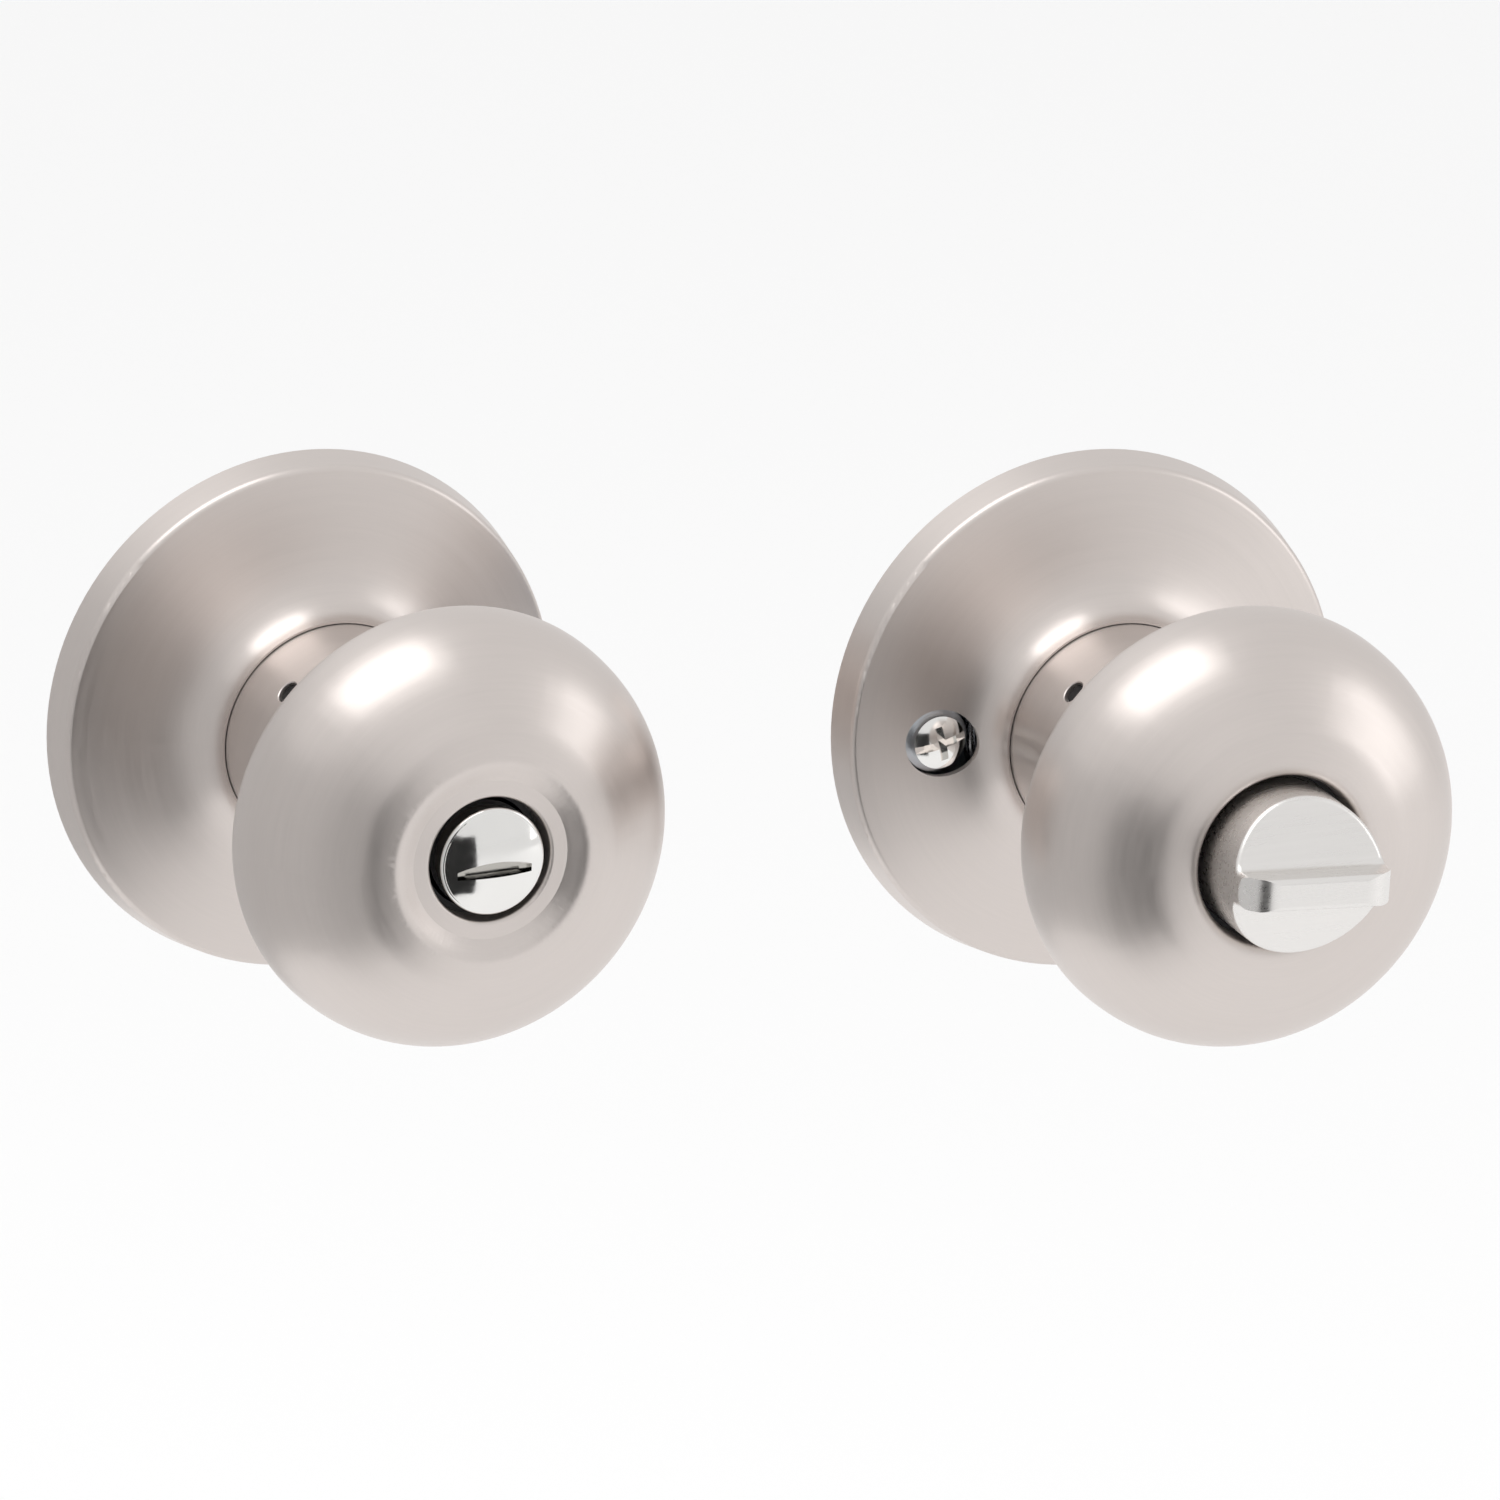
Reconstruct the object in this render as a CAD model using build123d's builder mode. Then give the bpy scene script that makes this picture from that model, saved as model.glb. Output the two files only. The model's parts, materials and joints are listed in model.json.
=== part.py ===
"""Privacy door knob set: an outside half with an emergency release and an inside half with a thumb turn.

Millimetres, +Z up. Each rose rests on the door plane at its back and its knob points along -Y.
The outside half's axis meets its rose's back face at the origin. In use the two halves stand back
to back on the two faces of one door; here the inside half is laid out beside the outside one.

In the sketch of a turned piece, x is the radius and y is the distance out from the door plane.
"""

from build123d import *
from math import acos, asin, cos, degrees, radians, sin
import os

# Where each half's axis meets its door plane (X, Y)
OUTSIDE = (0.0, 0.0)
INSIDE = (90.1, -37.5)

# Clearances
RUN = 0.05  # radial, of a journal in its bush
GAP = 0.3  # between pieces that pass each other without touching

# The door that the set is made for
DOOR_THICKNESS = 35.0
SCREW_SPACING = 43.0

# Rose: a spun sheet cover with a trumpet-shaped face
ROSE_R = 33.35
ROSE_WALL = 0.9
ROSE_RIM_WALL = 1.05
ROSE_DRAFT = 0.75
ROSE_EDGE_D = 4.9
ROSE_EDGE_ROUND = 0.9
ROSE_COLLAR_D = 12.8
COLLAR_LIP = 0.25  # the wall is feathered to this at the collar
COLLAR_GAP = 0.12
FLARE_SHARE = 0.56  # of the way from the collar to the edge, where the face starts to rise
FLARE_RISE = 2.0
COLLAR_RISE = 2.3
COLLAR_LEAN = 0.2

# Mounting plate behind the rose, and the hub that holds the bush
PLATE_T = 2.0
PLATE_BACK_D = 0.3  # the rose's rim meets the door first
HUB_END_D = 7.0
HUB_WALL = 1.2
BUSH_WALL = 1.2
BUSH_FLANGE_T = 1.0

# Knob
KNOB_R = 28.1
EQUATOR_D = 49.0
FRONT_RISE = 17.4
FRONT_POWER = 2.4
BACK_DROP = 13.0
BACK_POWER = 1.7
SEAM_ANGLE = 12.0
KNOB_WALL = 0.9
SHANK_R = 14.5
NECK_ROUND = 2.2
LIP_TUBE_LENGTH = 7.0
OUTLINE_STEPS = 5

# Emergency release button, its shaft and housing
BUTTON_R = 6.95
BUTTON_DOME = 1.3
BUTTON_PROUD = 0.85
BUTTON_DEPTH = 7.3
BUTTON_EDGE_ROUND = 0.5
SHAFT_BACK_D = 37.0
SHAFT_SOCKET_D = 46.0
HOUSING_FRONT_D = 60.5
HOUSING_FLOOR_D = 40.0
HOUSING_FLOOR_T = 4.0
COIN_SLOT_HALF_LENGTH = 4.95
COIN_SLOT_TOP = 0.35
COIN_SLOT_BOTTOM = -1.65
COIN_RAMP_DEPTH = 1.3
COIN_SLOT_DEPTH = 3.2
COIN_SLIT = 0.3
COIN_LIP = 0.9  # the slot is undercut below its lower edge
COIN_UNDERCUT = 1.35
COIN_UNDERCUT_HALF_LENGTH = 3.6
CLIP_T = 0.8
CLIP_GROOVE = 0.45
CLIP_RIM = 1.5
CLIP_MOUTH = 3.0

# Dish and opening of the outside knob
RELEASE_OPENING_R = BUTTON_R + 1.1
RELEASE_LIP_ROUND = 0.5
DISH_R = RELEASE_OPENING_R + 2.25
DISH_DEPTH = 0.95
CROWN_R = DISH_R + 3.0
CROWN_ROLL = 0.9  # how far in from the crown the outline runs on before it turns down
DISH_SLOPE = 0.3

# Thumb turn, and the opening of the inside knob
TURN_R = 10.2
TURN_DEPTH = 20.3
TURN_RIM_PROUD = 4.8
TURN_ROOT_PROUD = 8.1
TURN_FRONT_PROUD = 12.8
TURN_BAR_HALF = 2.1
TURN_ROOT_ROUND = 1.4
TURN_BAR_ROUND = 0.7
TURN_END_ROUND = 4.5
TURN_RIM_ROUND = 0.7
TURN_SET_ANGLE = 4.5  # clockwise from level, seen from in front
TURN_END_STEP = 0.15
TURN_SHAFT_BACK_D = 6.0
TURN_SHAFT_SOCKET_D = 16.0
TURN_SHAFT_FRONT_D = 56.0
TURN_FLOOR_D = 44.0
TURN_FLATS_END_D = 41.0
DETENT_T = 0.35
DETENT_LENGTH = 9.0
DETENT_END_D = 40.5
TURN_OPENING_R = TURN_R + 0.7
TURN_LIP_ROUND = 2.0

# Spindle and lock bar
SPINDLE_SIDE = 8.0
SPINDLE_WALL = 1.1
SPINDLE_ROUND = 0.8
SPINDLE_FRONT_D = 30.0
SPINDLE_ENTRY = 8.0
SPINDLE_HOLLOW = SPINDLE_SIDE - 2 * SPINDLE_WALL
BAR_WIDTH = SPINDLE_HOLLOW - 1.4
BAR_T = 1.6
BAR_PAST_SPINDLE = 3.0
BAR_SLOT_ROOM = 0.1
SHAFT_R = BAR_WIDTH / 2 + 0.8
TURN_SHAFT_R = BAR_WIDTH / 2 + 0.6
TURN_FLATS_HALF = TURN_SHAFT_R - 0.5

# Sleeve that takes the spindle's end in the inside knob
SLEEVE_SIDE = SPINDLE_SIDE + GAP
SLEEVE_R = SLEEVE_SIDE * sin(radians(45)) + 0.63
SLEEVE_FRONT_D = 14.0
TURN_SHAFT_ROOM = 0.5

# Insert: the cast core of a knob, with the journal that turns in the bush
JOURNAL_R = SHANK_R - 1.9
INSERT_FRONT_D = 34.0
INSERT_BACK_D = -3.6
FLAT_HALF_WIDTH = JOURNAL_R - 1.0
POCKET_R = SHANK_R - 2.1
POCKET_BACK_D = 25.5
POCKET_STEP = 0.55

# Spring driver and retaining ring, behind the plate
DRIVER_T = 1.4
DRIVER_R = JOURNAL_R + 2.4
RING_T = 0.8
RING_GROOVE_R = JOURNAL_R - 1.6
RING_R = JOURNAL_R + 1.6
RING_MOUTH = 8.0

# Return spring, its driving finger and its fixed lug
BUSH_BORE_R = JOURNAL_R + RUN
BUSH_R = BUSH_BORE_R + BUSH_WALL
HUB_R = BUSH_R + HUB_WALL
SPRING_WIRE_R = 0.6
SPRING_R = HUB_R + SPRING_WIRE_R + 0.75
SPRING_PITCH = 1.35
SPRING_TURNS = 2
SPRING_SEAT = 0.05
FINGER_HALF_WIDTH = 1.5
FINGER_R = SPRING_R + 1.6
FINGER_DEPTH = 1.2
FINGER_END_D = 6.8
LUG_R = FINGER_R + 1.9
LUG_DEPTH = 1.4
LUG_END_D = 6.2
LEG_END_R = LUG_R + 1.1
KNOB_TURN = 60.0

# Screws, and the posts that take them
SCREW_R = 1.95
SCREW_NECK_R = 1.75  # plain shank under the head
SCREW_HOLE_R = SCREW_R + 0.35
SCREW_HEAD_R = 3.4
SCREW_HEAD_H = 1.5
SCREW_HEAD_DOME = 0.9
SCREW_SEAT_D = 5.4
SCREW_BOSS_R = SCREW_HEAD_R + 0.8
SCREW_WELL_R = SCREW_BOSS_R + 0.2
RECESS_LENGTH = 4.4
RECESS_WIDTH = 1.0
RECESS_DEPTH = 1.5
DRIVER_SLOT_WIDTH = 0.9
DRIVER_SLOT_DEPTH = 0.9
RECESS_ANGLE = 12.0
POST_R = SCREW_R + 1.05
POST_LENGTH = 19.0
POST_THREAD_R = SCREW_R - 0.25
POST_RIVET_R = POST_R - 1.0
POST_HEAD_R = POST_R
POST_HEAD_T = 0.9
THREAD_ENGAGEMENT = 5.0

# Knob catch: the sprung pin behind the hole in the shank
CATCH_ANGLE = 135.0
CATCH_D = 22.7
CATCH_HOLE_R = 1.5
CATCH_HOLE_EDGE = 0.12
CATCH_PIN_R = 1.3
CATCH_BORE_BOTTOM_R = SLEEVE_R + 1.1
CATCH_PIN_BACK_R = CATCH_BORE_BOTTOM_R + 2.6
CATCH_TIP_BELOW = 0.4
CATCH_TIP_ROUND = 0.3
CATCH_SPRING_R = 0.95
CATCH_SPRING_WIRE_R = 0.2
CATCH_SPRING_TURNS = 3.0

# Distances and radii that follow from those above
PLATE_FRONT_D = PLATE_BACK_D + PLATE_T
COLLAR_IN_R = SHANK_R + COLLAR_GAP
COLLAR_R = COLLAR_IN_R + COLLAR_LIP
PLATE_R = ROSE_R - ROSE_RIM_WALL
SHANK_IN_R = SHANK_R - KNOB_WALL
SHOULDER_D = HUB_END_D + BUSH_FLANGE_T + GAP
DRIVER_BACK_D = -GAP - DRIVER_T
NECK_D = EQUATOR_D - BACK_DROP
FRONT_D = EQUATOR_D + FRONT_RISE
CROWN_D = EQUATOR_D + FRONT_RISE * (1 - (CROWN_R / KNOB_R) ** FRONT_POWER) ** (1 / FRONT_POWER)
DISH_D = CROWN_D - DISH_DEPTH
TURN_LIP_D = FRONT_D - 0.9
BUTTON_RIM_D = DISH_D + BUTTON_PROUD
BUTTON_BACK_D = BUTTON_RIM_D - BUTTON_DEPTH
TURN_RIM_D = TURN_LIP_D + TURN_RIM_PROUD
TURN_ROOT_D = TURN_LIP_D + TURN_ROOT_PROUD
TURN_FRONT_D = TURN_LIP_D + TURN_FRONT_PROUD
TURN_BACK_D = TURN_RIM_D - TURN_DEPTH
SCREW_LENGTH = DOOR_THICKNESS - POST_LENGTH + THREAD_ENGAGEMENT
SPINDLE_BACK_D = -(DOOR_THICKNESS + SPINDLE_ENTRY)
LEG_ANGLE = degrees(asin((FINGER_HALF_WIDTH + SPRING_WIRE_R) / (FINGER_R - FINGER_DEPTH / 2)))
SLOT_HALF_ANGLE = KNOB_TURN + degrees(asin((FINGER_HALF_WIDTH + GAP) / FINGER_R))


def section(half):
    """Half plane through a half's axis: x is the radius, y the distance out from the door plane."""
    return Plane(origin=(*half, 0), x_dir=(1, 0, 0), z_dir=(0, 0, -1))


def side_section(half):
    """Upright plane through a half's axis: x is the height, y the distance out."""
    return Plane(origin=(*half, 0), x_dir=(0, 0, 1), z_dir=(1, 0, 0))


def across(half, out):
    """Plane square to a half's axis at a distance out, facing out: x as the row's X, y up."""
    return Plane(origin=(half[0], half[1] - out, 0), x_dir=(1, 0, 0), z_dir=(0, -1, 0))


def axis_of(half):
    return Axis((*half, 0), (0, -1, 0))


def catch_plane(half, radius):
    """Plane square to the knob catch's line at a radius from the knob's axis, facing outward."""
    out = (cos(radians(CATCH_ANGLE)), 0, sin(radians(CATCH_ANGLE)))
    origin = (half[0] + radius * out[0], half[1] - CATCH_D, radius * out[2])
    return Plane(origin=origin, x_dir=(0, -1, 0), z_dir=out)


def save(piece, name):
    piece.part.label = name
    export_step(piece.part, f"parts/{name}.step")


def tube(half, outer, inner, back, front, mode=Mode.ADD):
    """A plain ring or tube about a half's axis, or a disc where inner is 0."""
    with BuildSketch(section(half)) as profile:
        with Locations(((outer + inner) / 2, (back + front) / 2)):
            Rectangle(outer - inner, front - back)
    revolve(profile.sketch, axis=axis_of(half), mode=mode)


def bar(half, width, height, back, front, mode=Mode.ADD, rounding=0.0, centre=(0, 0)):
    """A rectangular bar along a half's axis."""
    with BuildSketch(across(half, back)) as profile:
        with Locations(centre):
            if rounding:
                RectangleRounded(width, height, rounding)
            else:
                Rectangle(width, height)
    extrude(profile.sketch, amount=front - back, mode=mode)


def clip(half, groove_r, rim_r, back, thickness, mouth):
    """An open retaining ring whose mouth points down."""
    tube(half, rim_r, groove_r, back, back + thickness)
    bar(half, mouth, rim_r * 2, back, back + thickness, Mode.SUBTRACT, centre=(0, -rim_r))


def round_corners(sketch, points, radius):
    """Rounds the corners of a section sketch that lie at the given points."""
    corners = [sketch.vertices().sort_by_distance((*point, 0))[0] for point in points]
    fillet(corners, radius)


# Rose, plate, posts and screws ----------------------------------------------------------------


def trumpet(edge_r, edge_d, collar_r):
    """Control points of the rose's face, from its edge to the collar's lip."""
    flare_r = collar_r + FLARE_SHARE * (edge_r - collar_r)
    foot = (collar_r + COLLAR_LEAN, edge_d + COLLAR_RISE)
    return (edge_r, edge_d), (flare_r, edge_d + FLARE_RISE), foot, (collar_r, ROSE_COLLAR_D)


def rose(half, name, screw_wells):
    """The spun cover: rim, trumpet face and collar, with wells for the screws on the inside half."""
    edge_r = ROSE_R - ROSE_DRAFT
    inner_edge = (edge_r - ROSE_WALL, ROSE_EDGE_D - ROSE_WALL)
    with BuildPart() as piece:
        with BuildSketch(section(half)) as sketch:
            with BuildLine():
                Polyline((PLATE_R, 0), (ROSE_R, 0), (edge_r, ROSE_EDGE_D))
                Bezier(*trumpet(edge_r, ROSE_EDGE_D, COLLAR_R))
                Line((COLLAR_R, ROSE_COLLAR_D), (COLLAR_IN_R, ROSE_COLLAR_D))
                Bezier(*reversed(trumpet(*inner_edge, COLLAR_IN_R)))
                Polyline(inner_edge, (PLATE_R, PLATE_FRONT_D), (PLATE_R, 0))
            make_face()
            round_corners(sketch, [(edge_r, ROSE_EDGE_D)], ROSE_EDGE_ROUND)
        revolve(axis=axis_of(half))
        if screw_wells:
            with BuildSketch(across(half, PLATE_FRONT_D)):
                with GridLocations(SCREW_SPACING, 0, 2, 1):
                    Circle(SCREW_WELL_R)
            extrude(amount=ROSE_COLLAR_D, mode=Mode.SUBTRACT)
    save(piece, name)


def mounting_plate(half, name, hole_r, boss_end):
    """Disc inside the rose with the bush's hub, the finger's slot and the spring's fixed lug."""
    with BuildPart() as piece:
        tube(half, PLATE_R, BUSH_R, PLATE_BACK_D, PLATE_FRONT_D)
        tube(half, HUB_R, BUSH_R, PLATE_FRONT_D, HUB_END_D)
        if boss_end > PLATE_FRONT_D:
            with BuildSketch(across(half, PLATE_FRONT_D)):
                with GridLocations(SCREW_SPACING, 0, 2, 1):
                    Circle(SCREW_BOSS_R)
            extrude(amount=boss_end - PLATE_FRONT_D)
        with BuildSketch(across(half, PLATE_BACK_D)):
            with GridLocations(SCREW_SPACING, 0, 2, 1):
                Circle(hole_r)
        extrude(amount=boss_end - PLATE_BACK_D, mode=Mode.SUBTRACT)
        with BuildSketch(across(half, PLATE_BACK_D)):
            with BuildLine():
                arc = CenterArc((0, 0), FINGER_R, 90 - SLOT_HALF_ANGLE, 2 * SLOT_HALF_ANGLE)
            SlotArc(arc, FINGER_DEPTH + 2 * GAP)
        extrude(amount=PLATE_T, mode=Mode.SUBTRACT)
        bar(half, 2 * FINGER_HALF_WIDTH, LUG_DEPTH, PLATE_FRONT_D, LUG_END_D, centre=(0, LUG_R))
    save(piece, name)


def posts(half, name):
    """Two tapped posts riveted into the outside plate, which the mounting screws draw on."""
    with BuildPart() as piece:
        for x in (-SCREW_SPACING / 2, SCREW_SPACING / 2):
            centre = (half[0] + x, half[1])
            tube(centre, POST_R, 0, -POST_LENGTH, PLATE_BACK_D)
            tube(centre, POST_RIVET_R, 0, PLATE_BACK_D, PLATE_FRONT_D)
            tube(centre, POST_HEAD_R, 0, PLATE_FRONT_D, PLATE_FRONT_D + POST_HEAD_T)
            tube(centre, POST_THREAD_R, 0, -POST_LENGTH, 0, Mode.SUBTRACT)
    save(piece, name)


def mounting_screws(half, name):
    """Two pan-head machine screws with a cross recess over a slot."""
    head_top = SCREW_SEAT_D + SCREW_HEAD_H
    crown = head_top + SCREW_HEAD_DOME
    with BuildPart() as piece:
        for x in (-SCREW_SPACING / 2, SCREW_SPACING / 2):
            centre = (half[0] + x, half[1])
            with BuildSketch(section(centre)):
                with BuildLine():
                    Polyline((0, crown), (0, -SCREW_LENGTH), (SCREW_R, -SCREW_LENGTH), (SCREW_R, 0),
                             (SCREW_NECK_R, 0), (SCREW_NECK_R, SCREW_SEAT_D), (SCREW_HEAD_R, SCREW_SEAT_D),
                             (SCREW_HEAD_R, head_top))
                    TangentArc((0, crown), (SCREW_HEAD_R, head_top), tangent=(1, 0))
                make_face()
            revolve(axis=axis_of(centre))
            for angle, length, width, depth in (
                (RECESS_ANGLE, RECESS_LENGTH, RECESS_WIDTH, RECESS_DEPTH),
                (RECESS_ANGLE + 90, RECESS_LENGTH, RECESS_WIDTH, RECESS_DEPTH),
                (RECESS_ANGLE, 2 * SCREW_HEAD_R, DRIVER_SLOT_WIDTH, DRIVER_SLOT_DEPTH),
            ):
                with BuildSketch(across(centre, crown - depth)):
                    Rectangle(length, width, rotation=angle)
                extrude(amount=depth, mode=Mode.SUBTRACT)
    save(piece, name)


def bearing_bush(half, name):
    """Flanged bush pressed into the plate's hub."""
    with BuildPart() as piece:
        tube(half, BUSH_R, BUSH_BORE_R, PLATE_BACK_D, HUB_END_D)
        tube(half, HUB_R, BUSH_BORE_R, HUB_END_D, HUB_END_D + BUSH_FLANGE_T)
    save(piece, name)


def return_spring(half, name):
    """Torsion spring round the hub, its two legs straddling the driver's finger and the plate's lug."""
    turn = SPRING_TURNS * 360 - 2 * LEG_ANGLE
    first_leg = radians(90 + LEG_ANGLE)
    foot = (half[0], half[1] - PLATE_FRONT_D - SPRING_WIRE_R - SPRING_SEAT, 0)
    start = Plane(origin=foot, x_dir=(cos(first_leg), 0, sin(first_leg)), z_dir=(0, -1, 0))
    coil = start.location * Edge.make_helix(SPRING_PITCH, SPRING_PITCH * turn / 360, SPRING_R)
    with BuildPart() as piece:
        with BuildSketch(Plane(origin=coil @ 0, z_dir=coil % 0)):
            Circle(SPRING_WIRE_R)
        sweep(path=coil)
        for at in (0, 1):
            foot = coil @ at
            out = Vector(foot.X - half[0], 0, foot.Z).normalized()
            with BuildSketch(Plane(origin=foot, z_dir=out)):
                Circle(SPRING_WIRE_R)
            extrude(amount=LEG_END_R - SPRING_R)
    save(piece, name)


# Knob -----------------------------------------------------------------------------------------


def swell(radius, depth, power, angle):
    """A point of the knob's outline, a superellipse quarter: forward of the equator, or behind it."""
    return (
        radius * cos(radians(angle)) ** (2 / power),
        EQUATOR_D + depth * sin(radians(angle)) ** (2 / power),
    )


def front_outline(inset, end_r):
    """Points of the front shell from the equator to a radius near the opening."""
    radius, rise = KNOB_R - inset, FRONT_RISE - inset
    last = degrees(acos((end_r / radius) ** (FRONT_POWER / 2)))
    return [swell(radius, rise, FRONT_POWER, last * step / OUTLINE_STEPS) for step in range(OUTLINE_STEPS + 1)]


def equator_wrap(inset):
    """Control points of the front shell's edge, from the seam round to the equator."""
    (seam_x, seam_d), (before_x, before_d) = seam_point(inset), back_point(inset, SEAM_ANGLE + 2)
    radius = KNOB_R - inset
    reach = (radius - seam_x) / (seam_x - before_x)
    return (seam_x, seam_d), (radius, seam_d + reach * (seam_d - before_d)), (radius, EQUATOR_D)


def seam_point(inset):
    return back_point(inset, SEAM_ANGLE)


def back_point(inset, angle):
    radius, depth = KNOB_R - inset, BACK_DROP - inset
    x, y = swell(radius, depth, BACK_POWER, angle)
    return (x, 2 * EQUATOR_D - y)


def back_outline(inset, end_r):
    """Points of the back shell from the seam to where the neck's round begins."""
    last = degrees(acos((end_r / (KNOB_R - inset)) ** (BACK_POWER / 2)))
    step_angle = (last - SEAM_ANGLE) / (OUTLINE_STEPS - 1)
    return [back_point(inset, SEAM_ANGLE + step_angle * step) for step in range(OUTLINE_STEPS)]


def slope_in(points):
    """Direction in which an outline leaves its last point, as a step of 1 towards the axis."""
    (before_x, before_d), (last_x, last_d) = points[-2:]
    (first_x, first_d) = points[-3]
    late = (last_d - before_d) / (before_x - last_x)
    early = (before_d - first_d) / (first_x - before_x)
    return late - (early - late) * (before_x - last_x) / (first_x - last_x)


def outside_knob_front(half, name):
    """Front shell with a shallow dish round the release button's opening."""
    lip_d, tube_back = DISH_D, DISH_D - LIP_TUBE_LENGTH
    bore = RELEASE_OPENING_R
    with BuildPart() as piece:
        with BuildSketch(section(half)):
            with BuildLine():
                for inset in (0, KNOB_WALL):
                    points = front_outline(inset, CROWN_R)
                    slope = slope_in(points)
                    crown_d = points[-1][1]
                    turn_down = (DISH_R + CROWN_R - CROWN_ROLL) / 2
                    Bezier(*equator_wrap(inset))
                    Spline(*points, tangents=[(0, 1), (-1, slope)])
                    Bezier(points[-1], (CROWN_R - CROWN_ROLL, crown_d + slope * CROWN_ROLL),
                           (turn_down, lip_d - inset + DISH_SLOPE * (turn_down - DISH_R)),
                           (DISH_R, lip_d - inset))
                Line(seam_point(0), seam_point(KNOB_WALL))
                Line((DISH_R, lip_d), (bore + RELEASE_LIP_ROUND, lip_d))
                ThreePointArc((bore + RELEASE_LIP_ROUND, lip_d),
                              (bore + RELEASE_LIP_ROUND * (1 - cos(radians(45))),
                               lip_d - RELEASE_LIP_ROUND * (1 - sin(radians(45)))),
                              (bore, lip_d - RELEASE_LIP_ROUND))
                Polyline((bore, lip_d - RELEASE_LIP_ROUND), (bore, tube_back),
                         (bore + KNOB_WALL, tube_back), (bore + KNOB_WALL, lip_d - KNOB_WALL),
                         (DISH_R, lip_d - KNOB_WALL))
            make_face()
        revolve(axis=axis_of(half))
    save(piece, name)


def inside_knob_front(half, name):
    """Front shell whose wide lip rolls softly into the thumb turn's opening."""
    bore, soft = TURN_OPENING_R, TURN_LIP_ROUND
    with BuildPart() as piece:
        with BuildSketch(section(half)):
            with BuildLine():
                ends = []
                for inset in (0, KNOB_WALL):
                    points = front_outline(inset, bore + soft)
                    slope = slope_in(points)
                    wall_r, lip_d = bore + inset, points[-1][1]
                    reach = (bore + soft - wall_r) / 2
                    Bezier(*equator_wrap(inset))
                    Spline(*points, tangents=[(0, 1), (-1, slope)])
                    Bezier(points[-1], (bore + soft - reach, lip_d + slope * reach), (wall_r, lip_d - inset / 2),
                           (wall_r, lip_d - soft + inset))
                    ends.append((wall_r, lip_d - soft + inset))
                tube_back = TURN_LIP_D - LIP_TUBE_LENGTH
                Polyline(ends[0], (bore, tube_back), (bore + KNOB_WALL, tube_back), ends[1])
                Line(seam_point(0), seam_point(KNOB_WALL))
            make_face()
        revolve(axis=axis_of(half))
    save(piece, name)


def knob_back(half, name):
    """Back shell from the seam down to the neck, where the shank meets it."""
    with BuildPart() as piece:
        with BuildSketch(section(half)):
            with BuildLine():
                for inset in (0, KNOB_WALL):
                    shank = SHANK_R - inset
                    points = back_outline(inset, shank + NECK_ROUND)
                    Spline(*points)
                    (last_x, last_y), (before_x, before_y) = points[-1], points[-2]
                    slope = (last_y - before_y) / (last_x - before_x)
                    Bezier(points[-1], (shank + NECK_ROUND / 2, last_y - slope * NECK_ROUND / 2),
                           (shank, last_y - slope * NECK_ROUND), (shank, NECK_D))
                Line(seam_point(0), seam_point(KNOB_WALL))
                Line((SHANK_R, NECK_D), (SHANK_IN_R, NECK_D))
            make_face()
        revolve(axis=axis_of(half))
    save(piece, name)


def knob_shank(half, name):
    """Tube between the rose and the knob, with the hole that the catch shows in."""
    with BuildPart() as piece:
        tube(half, SHANK_R, SHANK_IN_R, SHOULDER_D, NECK_D)
        with BuildSketch(catch_plane(half, CATCH_PIN_BACK_R)):
            Circle(CATCH_HOLE_R)
        extrude(amount=SHANK_R, mode=Mode.SUBTRACT)
        mouth = catch_plane(half, SHANK_R).origin
        rim = piece.edges().filter_by(GeomType.BSPLINE).group_by(lambda edge: (edge.center() - mouth).length)[0]
        chamfer(rim, CATCH_HOLE_EDGE)
    save(piece, name)


def insert_blank(half, pocket_in_r):
    """The insert without its bore: journal, body, ring groove, keyed end, pocket and catch bore."""
    tube(half, JOURNAL_R, 0, INSERT_BACK_D, SHOULDER_D)
    tube(half, SHANK_IN_R, 0, SHOULDER_D, INSERT_FRONT_D)
    tube(half, POCKET_R, pocket_in_r, POCKET_BACK_D, INSERT_FRONT_D, Mode.SUBTRACT)
    tube(half, JOURNAL_R, RING_GROOVE_R, DRIVER_BACK_D - RING_T, DRIVER_BACK_D, Mode.SUBTRACT)
    for side in (-1, 1):
        bar(half, JOURNAL_R, 2 * JOURNAL_R, INSERT_BACK_D, -GAP, Mode.SUBTRACT,
            centre=(side * (FLAT_HALF_WIDTH + JOURNAL_R / 2), 0))
    with BuildSketch(catch_plane(half, CATCH_BORE_BOTTOM_R)) as bore:
        Circle(CATCH_PIN_R + RUN)
    extrude(bore.sketch, amount=SHANK_R - CATCH_BORE_BOTTOM_R, mode=Mode.SUBTRACT)


def outside_insert(half, name):
    """Insert with the square hole that grips the spindle."""
    with BuildPart() as piece:
        insert_blank(half, RELEASE_OPENING_R + POCKET_STEP)
        bar(half, SPINDLE_SIDE, SPINDLE_SIDE, INSERT_BACK_D, INSERT_FRONT_D, Mode.SUBTRACT, SPINDLE_ROUND)
    save(piece, name)


def inside_insert(half, name):
    """Insert bored for the spindle sleeve and, beyond it, for the thumb turn's shaft."""
    with BuildPart() as piece:
        insert_blank(half, TURN_OPENING_R + POCKET_STEP)
        tube(half, SLEEVE_R, 0, INSERT_BACK_D, SLEEVE_FRONT_D, Mode.SUBTRACT)
        tube(half, TURN_SHAFT_R + TURN_SHAFT_ROOM, 0, SLEEVE_FRONT_D, INSERT_FRONT_D, Mode.SUBTRACT)
    save(piece, name)


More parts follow.
